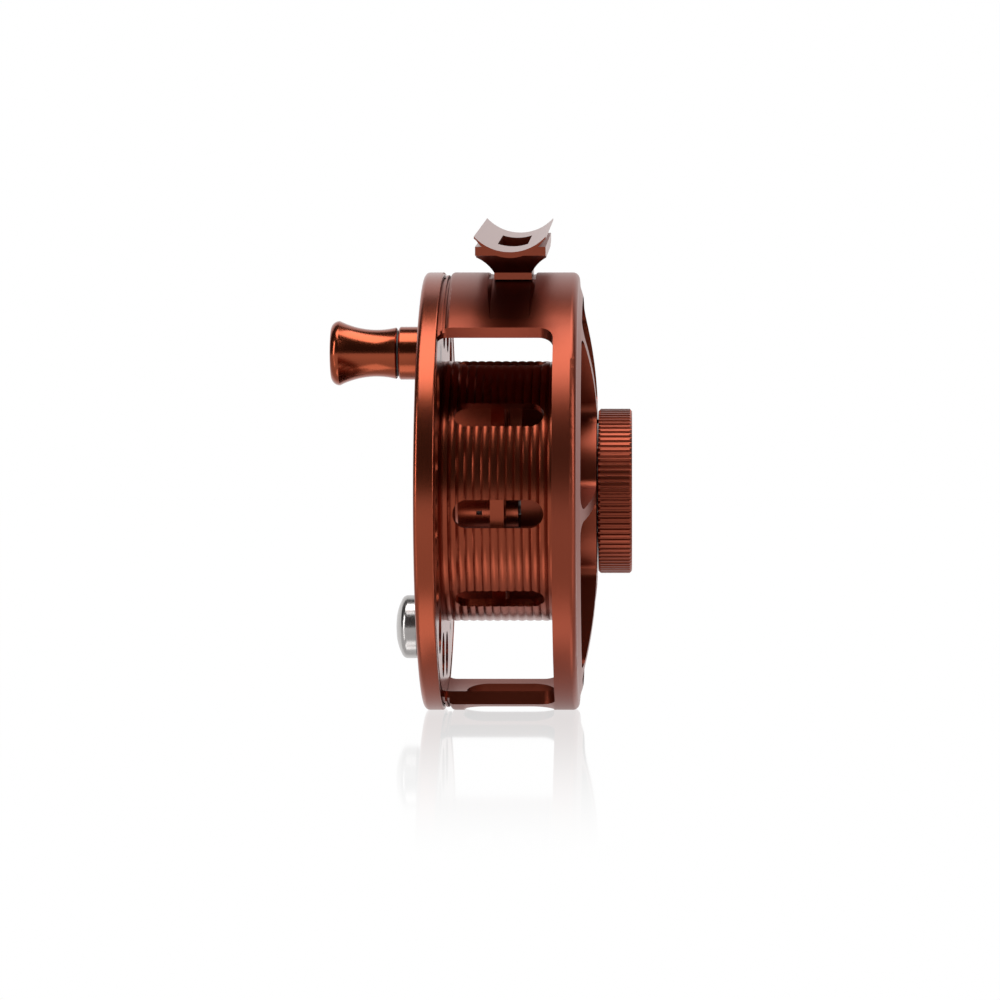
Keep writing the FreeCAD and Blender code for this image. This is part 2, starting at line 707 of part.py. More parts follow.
def make_window_cutter(name, near):
    """One window of the cage: a sector of a tube with rounded corners."""
    body = new_body(name)
    top_half = size["top_pillar_half_angle"]
    low_angle = size["bottom_pillar_angle"]
    low_half = size["bottom_pillar_half_angle"]
    if near:
        start, finish = top_half + 90.0, low_angle - low_half + 360.0
    else:
        start, finish = low_angle + low_half, 90.0 - top_half
    inner = cage_bore - 1.2
    outer = size["reel_radius"] + 1.0
    turn_solid(body, name + "_sector", tube_points(window_left, ring_left, inner, outer),
               angle=finish - start, middle=(start + finish) / 2.0)
    round_edges(body, name + "_ring_corners", size["window_round"],
                lambda edge: is_radial_edge(edge, ring_left))
    round_edges(body, name + "_flare_corners", size["window_flare"],
                lambda edge: is_radial_edge(edge, window_left))
    return body


def is_radial_edge(edge, x):
    if not isinstance(edge.Curve, Part.Line):
        return False
    return all(abs(vertex.Point.x - x.number) < 0.01 for vertex in edge.Vertexes)


def make_pillar_slot_cutter():
    """The rounded lightening slot through the bottom pillar."""
    body = new_body("pillar_slot")
    sketch = new_sketch(body, "pillar_slot_outline", "XY_Plane")
    outline = rounded_box_points(size["pillar_slot_length"], size["pillar_slot_width"],
                                 size["pillar_slot_round"])
    add_loop(sketch, shift_u(outline, size["pillar_slot_middle"]))
    lean_sketch(sketch, size["pillar_slot_angle"] - 90.0, cage_bore * 0.85)
    doc.recompute()
    pad = body.newObject("PartDesign::Pad", "pillar_slot_pad")
    pad.Profile = sketch
    bind(pad, "Length", size["reel_radius"] - cage_bore * 0.85 + 1.0)
    settle(body, 0.0, 1)
    return body


# ---------------------------------------------------------------- foot


def make_reel_foot():
    """Saddle plate with soft edges on a pedestal that flares from the stem."""
    hollow = size["saddle_radius"].number
    length = size["foot_length"].number
    edge = size["plate_edge"].number
    shift = size["seat_shift"].number
    plate = saddle_plate(hollow, edge, size["foot_width"].number, length)
    body = plate.fuse(pedestal_shape(shift))
    hollow_rod = Part.makeCylinder(hollow, length * 2.0, vector(0, -length, hollow), FreeCAD.Vector(0, 1, 0))
    body = body.cut(hollow_rod)
    window_length = size["foot_window_length"].number
    window_width = size["foot_window_width"].number
    depth = size["foot_window_depth"].number
    window = Part.makeBox(window_width, window_length, depth + hollow / 2.0,
                          vector(-window_width / 2.0, -window_length / 2.0, -depth))
    body = body.cut(window)
    for side in (-1, 1):
        place = size["foot_screw_spacing"].number / 2.0 * side
        bottom = foot_bottom() - 1.0
        reach = foot_bottom() + size["foot_screw_thread"].number - bottom
        hole = Part.makeCylinder(size["foot_screw_radius"].number, reach, vector(shift, place, bottom))
        body = body.cut(hole)
    body = body.removeSplitter()
    foot = doc.addObject("Part::Feature", "reel_foot_shape")
    foot.Shape = body
    set_place(foot, z=0.0)
    return name_node(foot, "reel_foot")


def saddle_plate(hollow, edge, width, length):
    """A plate of even thickness, hollow along Y, with its outer edges rounded."""
    half = width / 2.0
    rise = hollow - math.sqrt(hollow ** 2 - half ** 2)
    lean = half / hollow
    lower_x, lower_z = half - edge * lean * 0.5, rise - edge * math.sqrt(1.0 - lean ** 2)
    side_z = rise - edge * 0.4
    outline = [
        Part.Arc(vector(-half, 0, rise), vector(0, 0, 0), vector(half, 0, rise)).toShape(),
        straight(half, rise, half, side_z),
        straight(half, side_z, lower_x, lower_z),
        Part.Arc(vector(lower_x, 0, lower_z), vector(0, 0, -edge), vector(-lower_x, 0, lower_z)).toShape(),
        straight(-lower_x, lower_z, -half, side_z),
        straight(-half, side_z, -half, rise),
    ]
    face = Part.Face(Part.Wire(outline))
    face.translate(FreeCAD.Vector(0, -length / 2.0, 0))
    plate = face.extrude(FreeCAD.Vector(0, length, 0))
    return plate


def foot_bottom():
    """The height of the stem's underside, which stands on the cage's flat seat."""
    return size["reel_radius"].number - size["seat_depth"].number - size["saddle_height"].number


def pedestal_shape(shift):
    """The pedestal: a concave flare seen from the end, crossed with one seen from the side."""
    bottom = foot_bottom()
    stem_top = bottom + size["stem_height"].number
    top = stem_top + size["pedestal_height"].number + size["plate_edge"].number
    across = flare_solid(size["stem_width"].number, size["pedestal_width"].number, bottom, stem_top, top, 0.6)
    across.translate(FreeCAD.Vector(shift * 0.5, 0, 0))
    along = flare_solid(size["stem_length"].number, size["pedestal_length"].number, bottom, stem_top, top, 0.72)
    along.rotate(vector(0, 0, 0), FreeCAD.Vector(0, 0, 1), 90.0)
    return across.common(along)


def flare_solid(base_width, top_width, bottom, stem_top, top, share):
    """A wall along Y whose width grows from the stem to the plate along two concave arcs."""
    half_base, half_top = base_width / 2.0, top_width / 2.0
    edge = stem_top + (top - stem_top) * share
    middle_z = stem_top + (edge - stem_top) * 0.36
    middle_x = half_base + (half_top - half_base) * 0.2
    right_arc = Part.Arc(vector(half_base, 0, stem_top), vector(middle_x + 0.15, 0, middle_z),
                         vector(half_top, 0, edge)).toShape()
    left_arc = Part.Arc(vector(-half_top, 0, edge), vector(-middle_x - 0.15, 0, middle_z),
                        vector(-half_base, 0, stem_top)).toShape()
    pieces = [
        straight(half_base, bottom, half_base, stem_top), right_arc,
        straight(half_top, edge, half_top, top), straight(half_top, top, -half_top, top),
        straight(-half_top, top, -half_top, edge), left_arc,
        straight(-half_base, stem_top, -half_base, bottom),
        straight(-half_base, bottom, half_base, bottom),
    ]
    face = Part.Face(Part.Wire(pieces))
    face.translate(FreeCAD.Vector(0, -40, 0))
    return face.extrude(FreeCAD.Vector(0, 80, 0))


def straight(x_1, z_1, x_2, z_2):
    return Part.makeLine(vector(x_1, 0, z_1), vector(x_2, 0, z_2))


def make_foot_screws():
    """Two flat-headed screws, driven from inside the cage up into the stem."""
    head = size["foot_screw_head"].number
    seat = foot_bottom()
    head_top = foot_screw_head_top().number - size["saddle_height"].number
    shift = size["seat_shift"].number
    screws = []
    for side in (-1, 1):
        place = size["foot_screw_spacing"].number / 2.0 * side
        shank = Part.makeCylinder(size["foot_screw_radius"].number,
                                  seat + size["foot_screw_thread"].number - 0.3 - head_top,
                                  vector(shift, place, head_top))
        cap = Part.makeCylinder(size["foot_screw_head_radius"].number, head, vector(shift, place, head_top - head))
        socket = hex_rod(size["foot_screw_hex"].number, head * 0.6, place, head_top - head)
        socket.translate(FreeCAD.Vector(shift, 0, 0))
        screw = shank.fuse(cap).cut(socket)
        screws.append(screw)
    return group("foot_screws", screws, z=0.0)


def hex_rod(radius, depth, y, z):
    corners = [vector(radius * math.cos(math.radians(60 * k)), y + radius * math.sin(math.radians(60 * k)), z)
               for k in range(7)]
    return Part.Face(Part.makePolygon(corners)).extrude(FreeCAD.Vector(0, 0, depth))


# ---------------------------------------------------------------- spool


def make_spool():
    """The machined spool: palming rim, ported flange, ribbed arbor, web and hub."""
    body = new_body("spool")
    rim = size["reel_radius"]
    skirt_inner = cage_bore + size["left_ring_wall"] + size["rim_clearance"]
    flange_edge = cage_bore - size["rim_clearance"]
    base = size["arbor_radius"] - size["rib_rise"]
    hex_bore = size["hex_half"] + size["piece_gap"]
    turn_solid(body, "spool_turned", [
        (rim_face, size["rim_inner"]),
        (rim_face, rim),
        (rim_right, rim),
        (rim_right, skirt_inner),
        (pocket_floor, skirt_inner),
        (pocket_floor, flange_edge),
        (flange_right, flange_edge),
        (flange_right, base),
        (far_flange_left, base),
        (far_flange_left, flange_edge),
        (far_flange_right, flange_edge),
        (far_flange_right, arbor_bore),
        (size["web_right"], arbor_bore),
        (size["web_right"], size["hub_radius"]),
        (size["hub_right"], size["hub_radius"]),
        (size["hub_right"], hex_bore),
        (size["drive_hub_left"], hex_bore),
        (size["drive_hub_left"], size["spindle_radius"] + size["bush_wall"]),
        (size["hub_left"], size["spindle_radius"] + size["bush_wall"]),
        (size["hub_left"], size["hub_radius"]),
        (web_left, size["hub_radius"]),
        (web_left, arbor_bore),
        (flange_left, arbor_bore),
        (flange_left, size["rim_inner"]),
    ])
    for x in (rim_face, rim_right):
        name = "rim_rounded_left" if x is rim_face else "rim_rounded_right"
        limit = size["rim_round"] if x is rim_face else size["rim_round"] * 0.4
        round_edges(body, name, limit, lambda edge, x=x: is_hoop(edge, x, rim))
    round_edges(body, "rim_inner_rounded", size["rim_round"] * 0.6,
                lambda edge: is_hoop(edge, rim_face, size["rim_inner"]))
    add_ribs(body, base)
    cut_slots(body)
    cut_ports(body)
    cut_web_holes(body)
    cut_weight_nest(body)
    cut_latch_bed(body)
    cut_along_x(body, "hex_bore", size["drive_hub_left"], size["hub_right"] + 0.5,
                loops=[hexagon_points(hex_bore)])
    set_place(body)
    return name_node(body, "spool")


def add_ribs(body, base):
    """Rounded ribs round the arbor, side by side."""
    pitch = size["line_width"] / size["rib_count"]
    bury = 0.08
    before = body.Shape.Volume
    sketch = new_sketch(body, "rib_outline", "XY_Plane")
    add_loop(sketch, [
        (flange_right, base - bury), (flange_right + pitch, base - bury), (flange_right + pitch, base),
        through(flange_right + pitch / 2.0, size["arbor_radius"]), (flange_right, base),
    ])
    doc.recompute()
    rib = body.newObject("PartDesign::Revolution", "rib")
    rib.Profile = sketch
    rib.ReferenceAxis = (sketch, ["H_Axis"])
    rib.Angle = 360
    settle(body, before, 1)
    pattern = body.newObject("PartDesign::LinearPattern", "ribs")
    pattern.Originals = [rib]
    pattern.Direction = (origin_item(body, "X_Axis"), [""])
    bind(pattern, "Length", size["line_width"] - pitch)
    bind(pattern, "Occurrences", size["rib_count"])
    body.Tip = pattern
    doc.recompute()


def slot_angle():
    """The slots stand half a step from the handle."""
    return size["handle_angle"] + 180.0 / size["slot_count"]


def cut_slots(body):
    outline = obround_points(size["slot_length"], size["slot_width"])
    slot = cut_radially(body, "arbor_slot", slot_angle(), arbor_bore - 2.0, size["arbor_radius"] + 1.0,
                        shift_u(outline, size["slot_shift"]))
    repeat_around(body, "arbor_slots", slot, size["slot_count"])


def around(circle, angle):
    """The y and z of a point on a circle about the axis."""
    return circle * cosine(angle), circle * sine(angle)


def cut_ports(body):
    """Round ports in the flange, with plain metal left at the handle and the counterweight."""
    count = int(size["port_count"].number)
    circles = []
    for index in range(count):
        if index % (count // 2) == 0:
            continue
        angle = size["handle_angle"] + 360.0 / count * index
        y, z = around(size["port_circle"], angle)
        circles.append((y, z, size["port_radius"]))
    cut_along_x(body, "flange_ports", flange_left - 1.0, flange_right + 1.0, circles=circles)
    y, z = around(size["handle_circle"], size["handle_angle"])
    weight_y, weight_z = around(size["counterweight_circle"], size["handle_angle"] + 180.0)
    cut_along_x(body, "post_holes", flange_left - 1.0, flange_right + 1.0, circles=[
        (y, z, size["post_radius"]), (weight_y, weight_z, size["counterweight_screw_radius"])])


def cut_web_holes(body):
    y, z = around(size["web_hole_circle"], slot_angle())
    hole = cut_along_x(body, "web_hole", web_left - 1.0, size["web_right"] + 1.0,
                       circles=[(y, z, size["web_hole_radius"])])
    repeat_around(body, "web_holes", hole, size["slot_count"])


def cut_weight_nest(body):
    """A round nest in the rim that the counterweight sits in."""
    y, z = around(size["counterweight_circle"], size["handle_angle"] + 180.0)
    cut_along_x(body, "weight_nest", rim_face - 1.0, flange_left,
                circles=[(y, z, size["counterweight_radius"] + size["counterweight_nest_gap"])])


def cut_latch_bed(body):
    """Threaded holes in the hub's end for the latch cover's screws."""
    circle = size["latch_screw_circle"]
    cut_along_x(body, "latch_screw_holes", size["hub_left"] - 1.0,
                size["hub_left"] + size["latch_screw_depth"],
                circles=[(0.0, circle, size["latch_screw_radius"]), (0.0, -circle, size["latch_screw_radius"])])


def hexagon_points(half_flats):
    """A regular hexagon, half the distance across its flats given."""
    corner = half_flats / math.cos(math.radians(30.0))
    return [on_spoke(60.0 * k + 30.0, corner, 0.0) for k in range(6)]


# ---------------------------------------------------------------- handle and counterweight


def make_handle():
    """Grip, its bush, the post it turns on, the washer and the ferrule."""
    y, z = around(size["handle_circle"], size["handle_angle"])
    place = {"y": y, "z": z - size["saddle_height"]}
    end = rim_face - size["handle_reach"]
    tail = rim_face - size["ferrule_proud"] - size["handle_gap"]
    waist = end + size["grip_waist_place"]
    head_bore = size["post_head_radius"] + size["handle_gap"] / 2.0
    head_floor = end + size["post_recess"] + size["post_head"] + size["piece_gap"]
    bush_outer = size["post_radius"] + size["running_gap"] + size["grip_bush_wall"]
    chamfer = size["grip_tail_chamfer"]
    slant = size["grip_head_length"] * 0.35
    turned("handle_grip", [
        (end, head_bore),
        (end, size["grip_end_radius"]),
        through(end + slant, size["grip_head_radius"] - size["grip_head_length"] * 0.2),
        (end + size["grip_head_length"], size["grip_head_radius"]),
        through(waist, size["grip_waist_radius"]),
        (tail - chamfer, size["grip_tail_radius"]),
        (tail, size["grip_tail_radius"] - chamfer),
        (tail, bush_outer),
        (head_floor, bush_outer),
        (head_floor, head_bore),
    ], **place)
    ring("handle_bush", head_floor, tail, size["post_radius"] + size["running_gap"], bush_outer, **place)
    head_left = end + size["post_recess"]
    head_right = head_left + size["post_head"]
    turned("handle_post", [
        (head_left, 0.0), (flange_right, 0.0), (flange_right, size["post_radius"]),
        (head_right, size["post_radius"]), (head_right, size["post_head_radius"]),
        (head_left, size["post_head_radius"]),
    ], **place)
    slot = NODES[-1]
    cut_along_x(slot, "post_driver_slot", head_left - 1.0, head_left + size["post_head"] / 2.0, loops=[
        box_points(size["post_head_radius"] * 1.5, size["post_recess"] * 2.0)])
    ferrule_left = rim_face - size["ferrule_proud"]
    spare = (size["handle_gap"] - size["washer_thickness"]) / 2.0
    ring("handle_washer", tail + spare, ferrule_left - spare, size["post_radius"],
         size["washer_radius"], **place)
    chamfer = size["ferrule_chamfer"]
    turned("handle_ferrule", [
        (ferrule_left, size["post_radius"]), (ferrule_left, size["ferrule_radius"] - chamfer),
        (ferrule_left + chamfer, size["ferrule_radius"]), (flange_left, size["ferrule_radius"]),
        (flange_left, size["post_radius"]),
    ], **place)


def make_counterweight():
    """A domed weight opposite the handle, held by a screw from inside the flange."""
    y, z = around(size["counterweight_circle"], size["handle_angle"] + 180.0)
    place = {"y": y, "z": z - size["saddle_height"]}
    left = rim_face - size["counterweight_proud"]
    radius = size["counterweight_radius"]
    dome = size["counterweight_dome"]
    cut = size["counterweight_groove"]
    shoulder = left + dome * 2.2
    groove = rim_face - size["counterweight_proud"] * 0.36
    screw = size["counterweight_screw_radius"]
    hole_left = flange_left - size["counterweight_screw_depth"]
    turned("counterweight", [
        (hole_left, 0.0),
        (left, 0.0),
        through(left + dome * 0.18, radius * 0.5),
        (left + dome, radius * 0.86),
        through(left + dome * 1.45, radius * 0.96),
        (shoulder, radius),
        (groove - cut, radius),
        (groove, radius - cut),
        (groove + cut, radius),
        (flange_left, radius),
        (flange_left, screw),
        (hole_left, screw),
    ], **place)
    turned("counterweight_screw", [
        (hole_left + size["piece_gap"], 0.0), (flange_right, 0.0), (flange_right, screw),
        (hole_left + size["piece_gap"], screw),
    ], **place)
    cut_along_x(NODES[-1], "screw_socket", flange_right - 1.0, flange_right + 1.0,
                circles=[(0.0, 0.0, screw * 0.5)])


# ---------------------------------------------------------------- spindle and drag


def drag_places():
    """Where the drag's layers lie, from the brake disc out to both sides."""
    gap = size["piece_gap"]
    disc_left = size["disc_left"]
    disc_right = disc_left + size["disc_thickness"]
    place = {
        "disc_left": disc_left,
        "disc_right": disc_right,
        "inner_carbon_left": disc_left - gap - size["carbon_thickness"],
        "outer_carbon_left": disc_right + gap,
    }
    plate_left = disc_right + gap + size["carbon_thickness"] + size["drag_slack"]
    place["plate_left"] = plate_left
    place["springs_left"] = plate_left + size["pressure_plate"] + gap
    place["spring_plate_left"] = place["springs_left"] + size["belleville_height"] + gap
    place["spring_plate_right"] = place["spring_plate_left"] + size["spring_plate"]
    return place


def make_spindle():
    """The fixed shaft, clamped to the cup's floor by a nut and grooved for the latch."""
    radius = size["spindle_radius"]
    thread = size["spindle_thread_radius"]
    groove_left = latch_left() - (size["latch_groove_width"] - size["latch_thickness"]) / 2.0
    groove_right = groove_left + size["latch_groove_width"]
    end = knob_right - size["knob_face_thickness"] + size["running_gap"]
    turned("spindle", [
        (size["spindle_left"], 0.0), (end, 0.0), (end, thread), (floor_inside, thread),
        (floor_inside, size["spindle_flange_radius"]),
        (floor_inside - size["spindle_flange"], size["spindle_flange_radius"]),
        (floor_inside - size["spindle_flange"], radius), (groove_right, radius),
        (groove_right, size["latch_groove_radius"]), (groove_left, size["latch_groove_radius"]),
        (groove_left, radius), (size["spindle_left"] + 0.5, radius), (size["spindle_left"], radius - 0.5),
    ])
    spindle = NODES[-1]
    cut_along_x(spindle, "knob_screw_hole", end - 3.0, end + 1.0, circles=[(0.0, 0.0, 1.25)])
    nut_right = hub_face + size["spindle_nut_height"]
    ring("spindle_nut", hub_face, nut_right, thread, size["spindle_nut_radius"])


def make_drag_stack():
    """Everything in the cup that turns with the spool, and what presses on it."""
    at = drag_places()
    gap = size["piece_gap"]
    running = size["running_gap"]
    spindle = size["spindle_radius"]
    hub_outer = size["drive_hub_radius"]
    bush_outer = spindle + size["bush_wall"]
    left, right = size["drive_hub_left"], size["drive_hub_right"]
    make_drive_hub(left, right, bush_outer, hub_outer)
    make_hub_bearings(left, right, spindle + running, bush_outer)
    clutch_left = at["disc_left"] + (size["disc_hub_length"] - size["clutch_length"]) / 2.0
    make_clutch(clutch_left, clutch_left + size["clutch_length"], hub_outer, size["clutch_radius"])
    hub_right = at["disc_left"] + size["disc_hub_length"]
    turned("brake_disc", [
        (at["disc_left"], size["clutch_radius"]), (hub_right, size["clutch_radius"]),
        (hub_right, size["disc_hub_radius"]), (at["disc_right"], size["disc_hub_radius"]),
        (at["disc_right"], size["disc_radius"]), (at["disc_left"], size["disc_radius"]),
    ])
    thickness = size["carbon_thickness"].number
    carbons = []
    for start in (at["inner_carbon_left"].number, at["outer_carbon_left"].number):
        carbons.append(shape_tube(start, start + thickness, size["carbon_inner"].number,
                                  size["disc_radius"].number))
    group("carbon_washers", carbons)
    plate_right = at["plate_left"] + size["pressure_plate"]
    ring("pressure_plate", at["plate_left"], plate_right, size["pressure_inner"],
         size["disc_radius"] + gap)
    make_bellevilles(at["springs_left"].number)
    ring("spring_plate", at["spring_plate_left"], at["spring_plate_right"], size["pressure_inner"],
         size["disc_radius"])


def make_drive_hub(left, right, bore, outer):
    """The sleeve between clutch and spool, with a hexagon that drives the spool's hub."""
    body = new_body("drive_hub")
    inner_bore = size["spindle_radius"] + size["running_gap"] * 2.0
    length = size["bush_length"]
    turn_solid(body, "drive_hub_turned", [
        (left, inner_bore), (right - length, inner_bore), (right - length, bore), (right, bore),
        (right, outer), (left, outer),
    ])
    flats = []
    for index in range(6):
        flats.append([on_spoke(60.0 * index, along, across) for along, across in (
            (size["hex_half"], -3.5), (outer + 1.0, -3.5), (outer + 1.0, 3.5), (size["hex_half"], 3.5))])
    for index, flat in enumerate(flats):
        cut_along_x(body, "drive_flat_%d" % index, left - 1.0, size["hub_right"], loops=[flat])
    set_place(body)
    return name_node(body, "drive_hub")


def make_hub_bearings(left, right, inner, outer):
    """Bronze bushes: one in the drive hub, one in the spool's own hub."""
    length = size["bush_length"].number
    bushes = [
        shape_tube(right.number - length, right.number, inner.number, outer.number),
        shape_tube(size["hub_left"].number + 0.1, left.number - 0.05, inner.number, outer.number),
    ]
    return group("spool_bushes", bushes)


def make_clutch(left, right, inner, outer):
    """The one-way clutch: a race ring and its needle rollers round the drive hub."""
    race = size["clutch_race"].number
    gap = size["piece_gap"].number
    shapes = [shape_tube(left.number, right.number, outer.number - race, outer.number)]
    roller_radius = (outer.number - race - inner.number) / 2.0 - gap / 2.0
    roller_circle = inner.number + gap / 2.0 + roller_radius
    count = int(size["roller_count"].number)
    for index in range(count):
        angle = 2.0 * math.pi * index / count
        y, z = roller_circle * math.cos(angle), roller_circle * math.sin(angle)
        shapes.append(shape_tube(left.number + 0.4, right.number - 0.4, 0.0, roller_radius, y, z))
    return group("one_way_clutch", shapes)


def make_bellevilles(left):
    """A pair of dished spring washers, back to back."""
    height = size["belleville_height"].number / 2.0
    thickness = size["belleville_thickness"].number
    inner, outer = size["belleville_inner"].number, size["belleville_outer"].number
    rise = height - thickness
    gap = size["piece_gap"].number / 2.0
    shapes = []
    for start, lean in ((left, 1.0), (left + height + gap, -1.0)):
        low, high = (0.0, rise) if lean > 0 else (rise, 0.0)
        corners = [vector(start + low, inner), vector(start + low + thickness - gap, inner),
                   vector(start + high + thickness - gap, outer), vector(start + high, outer)]
        outline = Part.Face(Part.makePolygon(corners + [corners[0]]))
        shapes.append(outline.revolve(vector(0, 0, 0), FreeCAD.Vector(1, 0, 0), 360))
    return group("belleville_springs", shapes)


def make_cup_closure():
    """Cover, its seals and the ring that holds it in the cup."""
    left = size["cover_left"]
    right = left + size["cover_thickness"]
    bore = size["cup_bore"] - size["running_gap"]
    section = size["o_ring_section"]
    middle = left + size["cover_thickness"] / 2.0
    groove = bore - section * 2.0
    turned("drag_cover", [
        (left, size["seal_radius"]), (right, size["seal_radius"]), (right, bore),
        (middle + section, bore), (middle + section, groove), (middle - section, groove),
        (middle - section, bore), (left, bore),
    ])
    ring_radius = (section - size["running_gap"]).number
    torus = Part.makeTorus(bore.number - section.number, ring_radius, vector(middle.number, 0),
                           FreeCAD.Vector(1, 0, 0))
    group("cover_o_ring", [torus])
    seal_left = middle - size["seal_width"] / 2.0
    lip = size["drive_hub_radius"] + size["running_gap"]
    turned("hub_seal", [
        (seal_left, lip), (seal_left + size["seal_width"] * 0.3, lip),
        (seal_left + size["seal_width"] * 0.5, lip + 0.5),
        (seal_left + size["seal_width"], lip + 0.5),
        (seal_left + size["seal_width"], size["seal_radius"]), (seal_left, size["seal_radius"]),
    ])
    clip = new_body("retaining_ring")
    clip_outer = size["cup_bore"] + size["retaining_bite"]
    gap_middle = size["retaining_gap_angle"] / 2.0
    turn_solid(clip, "retaining_ring_turned", tube_points(
        left - size["retaining_width"], left, size["retaining_inner"], clip_outer),
        angle=360.0 - size["retaining_gap_angle"], middle=gap_middle * 0.0 + 90.0)
    set_place(clip)
    name_node(clip, "retaining_ring")


# ---------------------------------------------------------------- knob


def make_knob():
    """The fluted drag knob: a thick shell, a face, and a threaded boss inside."""
    body = new_body("drag_knob")
    outer = size["knob_radius"]
    chamfer = size["knob_chamfer"]
    shell = outer - size["knob_wall"]
    face = knob_right - size["knob_face_thickness"]
    recess = face + size["knob_face_thickness"] - size["knob_screw_head"]
    nut_room = size["spindle_nut_radius"] + size["knob_gap"]
    nut_top = hub_face + size["spindle_nut_height"] + size["knob_gap"]
    head_room = size["knob_screw_head_radius"] + size["knob_gap"]
    turn_solid(body, "knob_turned", [
        (knob_left, shell), (knob_left, outer - chamfer), (knob_left + chamfer, outer),
        (knob_right - chamfer, outer), (knob_right, outer - chamfer), (knob_right, head_room),
        (recess, head_room), (recess, size["knob_bore"]), (nut_top, size["knob_bore"]),
        (nut_top, nut_room), (knob_left, nut_room), (knob_left, size["knob_thread_radius"]),
        (face, size["knob_thread_radius"]), (face, shell),
    ])
    depth = size["flute_depth"]
    half = outer * math.pi / size["flute_count"] * 0.62
    flute = cut_along_x(body, "flute", knob_left - 1.0, knob_right + 1.0, loops=[[
        (half, outer + depth * 0.35), through(0.0, outer - depth), (-half, outer + depth * 0.35)]])
    repeat_around(body, "flutes", flute, size["flute_count"])
    dimple = cut_along_x(body, "dimple", knob_left - 1.0, knob_left + size["dimple_depth"],
                         circles=[(0.0, size["dimple_circle"], size["dimple_radius"])])
    repeat_around(body, "dimples", dimple, size["dimple_count"])
    set_place(body)
    name_node(body, "drag_knob")
    bush_right = recess
    ring("knob_bush", nut_top, bush_right, size["spindle_thread_radius"] + size["running_gap"],
         size["knob_bore"])


def make_knob_screw():
    """The screw and washer that keep the knob on the spindle's end."""
    head_left = knob_right - size["knob_screw_head"] + size["running_gap"]
    end = knob_right - size["knob_face_thickness"] + size["running_gap"]
    turned("knob_screw", [
        (end - 2.9, 0.0), (knob_right, 0.0), (knob_right, size["knob_screw_head_radius"]),
        (head_left, size["knob_screw_head_radius"]), (head_left, size["spindle_thread_radius"]),
        (end, size["spindle_thread_radius"]), (end, 1.25), (end - 2.9, 1.25),
    ])
    cut_along_x(NODES[-1], "knob_screw_slot", knob_right - 0.6, knob_right + 1.0,
                loops=[box_points(size["knob_screw_head_radius"] * 1.6, 1.0)])


def make_thrust():
    """The ring on the knob's thread and the pins through which it presses the springs."""
    left = hub_face + size["thrust_lift"]
    ring("thrust_ring", left, left + size["thrust_ring_height"],
         size["knob_thread_radius"] + size["running_gap"], size["thrust_ring_radius"])
    start = drag_places()["spring_plate_right"].number
    circle = size["thrust_pin_circle"].number
    pins = []
    for index in range(3):
        angle = math.radians(120.0 * index)
        pins.append(shape_tube(start, left.number, 0.0, size["thrust_pin_radius"].number,
                               circle * math.cos(angle), circle * math.sin(angle)))
    group("thrust_pins", pins)


def make_detent():
    """A sprung pin in the back plate that clicks over the knob's dimples."""
    tip = knob_left - size["piece_gap"]
    nose = size["knob_gap"]
    back = tip - nose - size["detent_pin_length"]
    z = size["dimple_circle"] - size["saddle_height"]
    turned("detent_pin", [
        (back, 0.0), (tip, 0.0), (tip, size["detent_tip_radius"] * 0.6),
        (tip - nose * 0.8, size["detent_tip_radius"]), (tip - nose * 1.9, size["detent_tip_radius"]),
        (tip - nose * 1.9, size["detent_pin_radius"]), (back, size["detent_pin_radius"]),
    ], z=z)
    floor = hub_face - size["detent_hole_depth"]
    room = back.number - floor.number
    wire = size["detent_wire"].number
    turns = size["detent_coil_turns"].number
    coil_radius = size["detent_pin_radius"].number - wire * 2.0
    rise = (room - wire * 4.0) / turns
    coil = coil_shape(rise, rise * turns, coil_radius, wire)
    coil.rotate(vector(0, 0, 0), FreeCAD.Vector(0, 1, 0), 90.0)
    coil.translate(vector(floor.number + wire * 2.0, 0))
    group("detent_spring", [coil], z=z)


# ---------------------------------------------------------------- click


def pawl_pivot():
    return around(size["pawl_circle"], size["pawl_angle"])


def pawl_left():
    """The pawl's plane, level with the click gear."""
    return size["gear_right"] - size["gear_width"] / 2.0 - size["pawl_thickness"] / 2.0


def pawl_pin_right():
    return hub_face - size["plate_hub_thickness"] + size["pawl_bury"]


def make_click_gear():
    """An internally toothed ring pressed in the arbor's open end."""
    teeth = int(size["gear_teeth"].number)
    root_radius, tip = size["gear_root"].number, size["gear_tip"].number
    outer = arbor_bore.number
    step = 2.0 * math.pi / teeth
    offset = math.radians(size["pawl_angle"].number) + pawl_tooth_angle()
    corners = []
    for index in range(teeth):
        for share, radius in ((-0.5, tip), (-0.28, root_radius), (0.28, root_radius), (0.5, tip)):
            if share == 0.5:
                continue
            angle = offset + step * (index + share)
            corners.append(vector(0, radius * math.cos(angle), radius * math.sin(angle)))
    teeth_face = Part.Face(Part.makePolygon(corners + [corners[0]]))
    width = size["gear_width"].number
    left = size["gear_right"].number - width
    hole = teeth_face.extrude(FreeCAD.Vector(width, 0, 0))
    hole.translate(vector(left, 0))
    disc = shape_tube(left, left + width, 0.0, outer)
    group("click_gear", [disc.cut(hole)])


def pawl_tooth_angle():
    """How far round from the pivot the pawl's tooth meets the gear."""
    return math.asin(size["pawl_reach"].number / size["gear_tip"].number)


